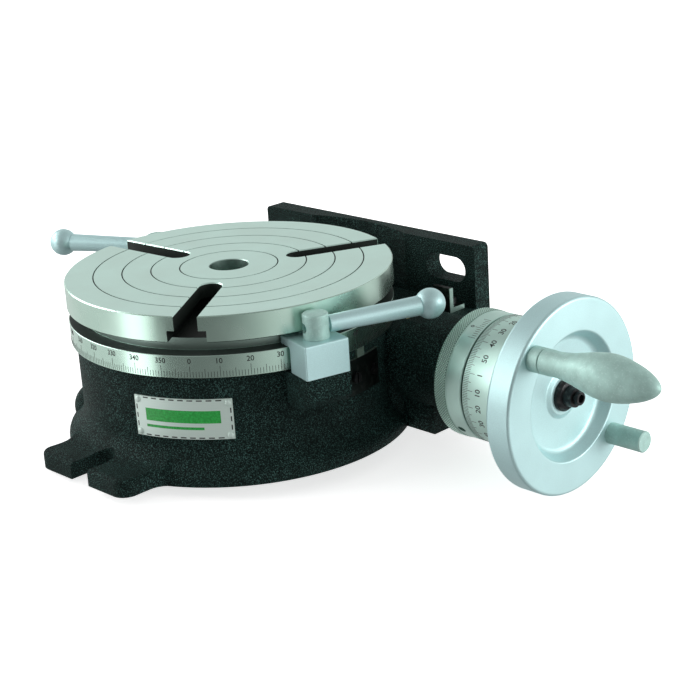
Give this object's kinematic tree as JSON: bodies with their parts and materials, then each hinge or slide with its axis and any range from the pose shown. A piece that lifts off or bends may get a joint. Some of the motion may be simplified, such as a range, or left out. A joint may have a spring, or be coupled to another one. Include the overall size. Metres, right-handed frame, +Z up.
{
  "type": "rotary table",
  "caption": "Horizontal and vertical rotary table for a milling machine: T-slotted round table on a worm drive with a graduated collar, handwheel and two table clamps.",
  "frame": {"origin": "the table's axis in the plane of the base's machined underside", "axes": "+Z up along the table's axis, +X along the worm to the handwheel, +Y towards the upright mounting plate"},
  "size_m": [0.4698, 0.2533, 0.1187],
  "materials": {
    "wrinkle_paint": "dark green-black wrinkle paint",
    "machined_iron": "machined",
    "ground_iron": "ground",
    "bright_steel": "turned and bright",
    "satin_steel": "satin",
    "silver_enamel": "silver enamel",
    "black_oxide": "black oxide",
    "plate_aluminium": "printed plate",
    "brass": "worn",
    "bronze": "bearing bronze"
  },
  "bodies": {
    "base": {"base_casting": "wrinkle_paint", "bottom_cover": "machined_iron", "cover_screws": "black_oxide", "thrust_washer": "bronze", "worm_bore_plug": "wrinkle_paint", "index_plate": "black_oxide", "index_plate_screws": "black_oxide", "name_plate": "plate_aluminium", "name_plate_rivets": "plate_aluminium", "worm_oiler": "brass", "stop_bracket": "bright_steel", "stop_bracket_screw": "black_oxide", "front_clamp_stud": "bright_steel", "front_clamp_block": "silver_enamel", "rear_clamp_stud": "bright_steel", "rear_clamp_block": "silver_enamel"},
    "table": {"table_top": "ground_iron", "centre_sleeve": "bright_steel", "worm_wheel": "machined_iron", "wheel_screws": "black_oxide", "spindle_nut": "machined_iron", "rim_screw": "black_oxide"},
    "eccentric": {"eccentric_sleeve": "bright_steel", "knurled_ring": "satin_steel", "ring_screws": "black_oxide", "front_bush": "bronze", "rear_bush": "bronze"},
    "worm": {"worm_shaft": "bright_steel", "worm_lock_nut": "bright_steel", "dial_hub": "satin_steel", "handwheel": "silver_enamel", "wheel_key": "bright_steel", "shaft_nut": "black_oxide", "shaft_screw": "black_oxide", "finger_pin": "bright_steel", "handle_ferrule": "satin_steel", "handle_axle": "bright_steel"},
    "dial": {"graduated_collar": "satin_steel"},
    "grip": {"spinner_handle": "satin_steel"},
    "front_lever": {"front_clamp_nut": "satin_steel", "front_clamp_bar": "silver_enamel", "front_clamp_ball": "silver_enamel"},
    "rear_lever": {"rear_clamp_nut": "satin_steel", "rear_clamp_bar": "silver_enamel", "rear_clamp_ball": "silver_enamel"}
  },
  "joints": [
    {"name": "table_spin", "type": "hinge", "parent": "base", "child": "table", "pos_m": [0, 0, 0.06], "axis": [0, 0, 1], "continuous": true},
    {"name": "sleeve_turn", "type": "hinge", "parent": "base", "child": "eccentric", "pos_m": [0, 0.07125, 0.0398], "axis": [1, 0, 0], "range_deg": [0, 110]},
    {"name": "worm_spin", "type": "hinge", "parent": "eccentric", "child": "worm", "pos_m": [0.05, 0.06925, 0.0398], "axis": [1, 0, 0], "continuous": true},
    {"name": "dial_turn", "type": "hinge", "parent": "worm", "child": "dial", "pos_m": [0.172, 0.06925, 0.0398], "axis": [1, 0, 0], "continuous": true},
    {"name": "grip_spin", "type": "hinge", "parent": "worm", "child": "grip", "pos_m": [0.24, 0.03472, 0.07314], "axis": [1, 0, 0], "continuous": true},
    {"name": "front_clamp_turn", "type": "hinge", "parent": "base", "child": "front_lever", "pos_m": [0.10432, -0.02795, 0.084], "axis": [0, 0, 1], "range_deg": [-90, 8]},
    {"name": "rear_clamp_turn", "type": "hinge", "parent": "base", "child": "rear_lever", "pos_m": [-0.10432, 0.02795, 0.084], "axis": [0, 0, 1], "range_deg": [-45, 45]}
  ],
  "couplings": [
    {"joint": "worm_spin", "follows": "table_spin", "ratio": 90}
  ]
}
